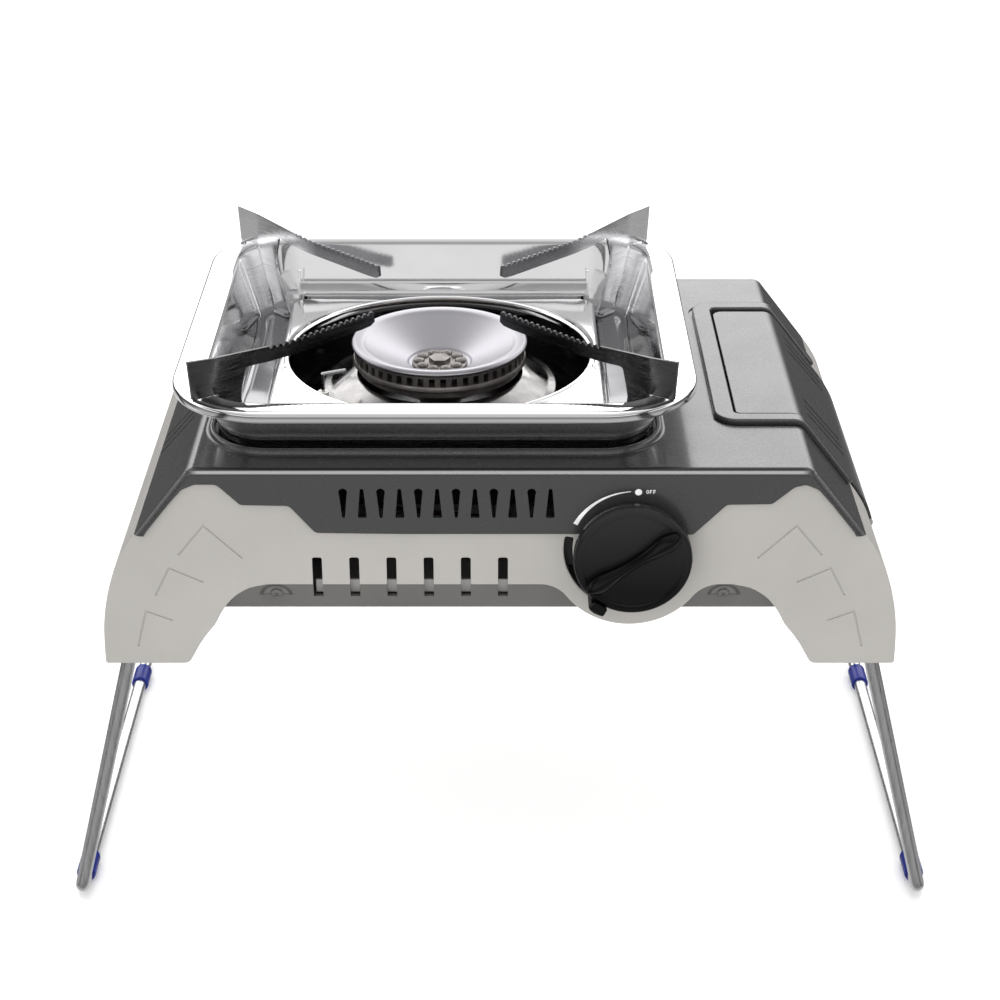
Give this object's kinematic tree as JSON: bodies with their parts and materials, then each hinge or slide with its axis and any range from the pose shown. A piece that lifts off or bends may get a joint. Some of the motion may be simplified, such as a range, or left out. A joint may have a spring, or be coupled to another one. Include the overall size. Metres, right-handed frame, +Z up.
{
  "type": "butane cassette stove",
  "caption": "Low portable gas stove on folding wire legs, with one round burner in a lift-off tray, a gas cartridge bay under a hinged lid and a front knob.",
  "frame": {"origin": "centre of the bounding box on the surface that the four foot sleeves stand on", "axes": "+Z up, +Y from the knob side to the back, +X to the right seen from the knob side"},
  "size_m": [0.4724, 0.2847, 0.3179],
  "materials": {
    "shell_metal": "satin metallic paint",
    "case_cream": "warm light grey satin paint",
    "belly_steel": "light grey sheet steel",
    "screw_steel": "zinc plated",
    "well_enamel": "black enamel",
    "zinc_casting": "die cast, matt",
    "rubber_black": "matt",
    "spring_steel": "drawn wire",
    "bracket_steel": "zinc plated sheet",
    "brass": "turned",
    "tube_aluminium": "drawn tube",
    "burner_iron": "heat-tinted casting",
    "burner_steel": "spun and brushed",
    "igniter_black": "moulded",
    "lead_red": "silicone insulation",
    "ceramic_white": "glazed ceramic",
    "sleeve_acetal": "moulded",
    "knob_black": "gloss moulded",
    "tray_steel": "polished stainless",
    "support_steel": "bright nickel plate",
    "leg_aluminium": "brushed rod",
    "sleeve_blue": "moulded sleeve"
  },
  "bodies": {
    "case": {"top_shell": "shell_metal", "front_panel": "case_cream", "rear_panel": "case_cream", "left_side_panel": "case_cream", "right_side_panel": "case_cream", "bottom_pan": "belly_steel", "belly_screws": "screw_steel", "shell_screws": "screw_steel", "burner_well": "well_enamel", "well_screws": "screw_steel", "bay_partition": "belly_steel", "canister_cradle": "belly_steel", "regulator_body": "zinc_casting", "diaphragm": "rubber_black", "diaphragm_spring": "spring_steel", "diaphragm_cover": "bracket_steel", "regulator_screws": "screw_steel", "inlet_seal": "rubber_black", "collar_guide": "bracket_steel", "jet_nozzle": "brass", "mixing_tube": "tube_aluminium", "burner_body": "burner_iron", "burner_bracket": "bracket_steel", "base_ring": "tray_steel", "flame_ring": "burner_iron", "burner_cap": "burner_steel", "cap_nut": "burner_iron", "piezo_igniter": "igniter_black", "igniter_lead": "lead_red", "electrode_insulator": "ceramic_white", "igniter_electrode": "spring_steel", "lid_hinge_pin": "spring_steel", "left_leg_brackets": "bracket_steel", "right_leg_brackets": "bracket_steel", "bracket_screws": "screw_steel", "return_spring": "spring_steel"},
    "push_sleeve": {"push_sleeve": "sleeve_acetal"},
    "knob": {"gas_knob": "knob_black", "spindle": "brass"},
    "lock_lever": {"lock_lever": "knob_black"},
    "canister_slider": {"canister_slider": "bracket_steel"},
    "canister_lid": {"canister_lid": "shell_metal"},
    "tray": {"drip_tray": "tray_steel", "wind_shields": "tray_steel", "pan_support_front_left": "support_steel", "pan_support_front_right": "support_steel", "pan_support_rear_left": "support_steel", "pan_support_rear_right": "support_steel", "support_rivets": "tray_steel"},
    "left_leg": {"left_leg_frame": "leg_aluminium", "left_foot_sleeves": "sleeve_blue"},
    "right_leg": {"right_leg_frame": "leg_aluminium", "right_foot_sleeves": "sleeve_blue"}
  },
  "joints": [
    {"name": "left_leg_fold", "type": "hinge", "parent": "case", "child": "left_leg", "pos_m": [-0.187, 0.00915, 0.1769], "axis": [0, -1, 0], "range_deg": [0, 102]},
    {"name": "right_leg_fold", "type": "hinge", "parent": "case", "child": "right_leg", "pos_m": [0.187, 0.00915, 0.1769], "axis": [0, 1, 0], "range_deg": [0, 102]},
    {"name": "lid_open", "type": "hinge", "parent": "case", "child": "canister_lid", "pos_m": [0.1971, 0.00915, 0.2014], "axis": [0, 1, 0], "range_deg": [0, 100]},
    {"name": "knob_push", "type": "slide", "parent": "case", "child": "push_sleeve", "axis": [0, 1, 0], "range_m": [0, 0.003], "stiffness_N_per_m": 600, "springref_m": -0.002, "deforming": ["return_spring"]},
    {"name": "knob_turn", "type": "hinge", "parent": "push_sleeve", "child": "knob", "pos_m": [0.0663, -0.13085, 0.2219], "axis": [0, -1, 0], "range_deg": [-125, 0]},
    {"name": "lock_lever_turn", "type": "hinge", "parent": "case", "child": "lock_lever", "pos_m": [0.0663, -0.11885, 0.2219], "axis": [0, -1, 0], "range_deg": [-64, 0]},
    {"name": "canister_slide", "type": "slide", "parent": "case", "child": "canister_slider", "axis": [0, 1, 0], "range_m": [0, 0.006]},
    {"name": "tray_lift", "type": "slide", "parent": "case", "child": "tray", "axis": [0, 0, 1], "range_m": [0, 0.06]}
  ],
  "couplings": [
    {"joint": "lock_lever_turn", "follows": "canister_slide", "rad_per_m": -186.1}
  ]
}
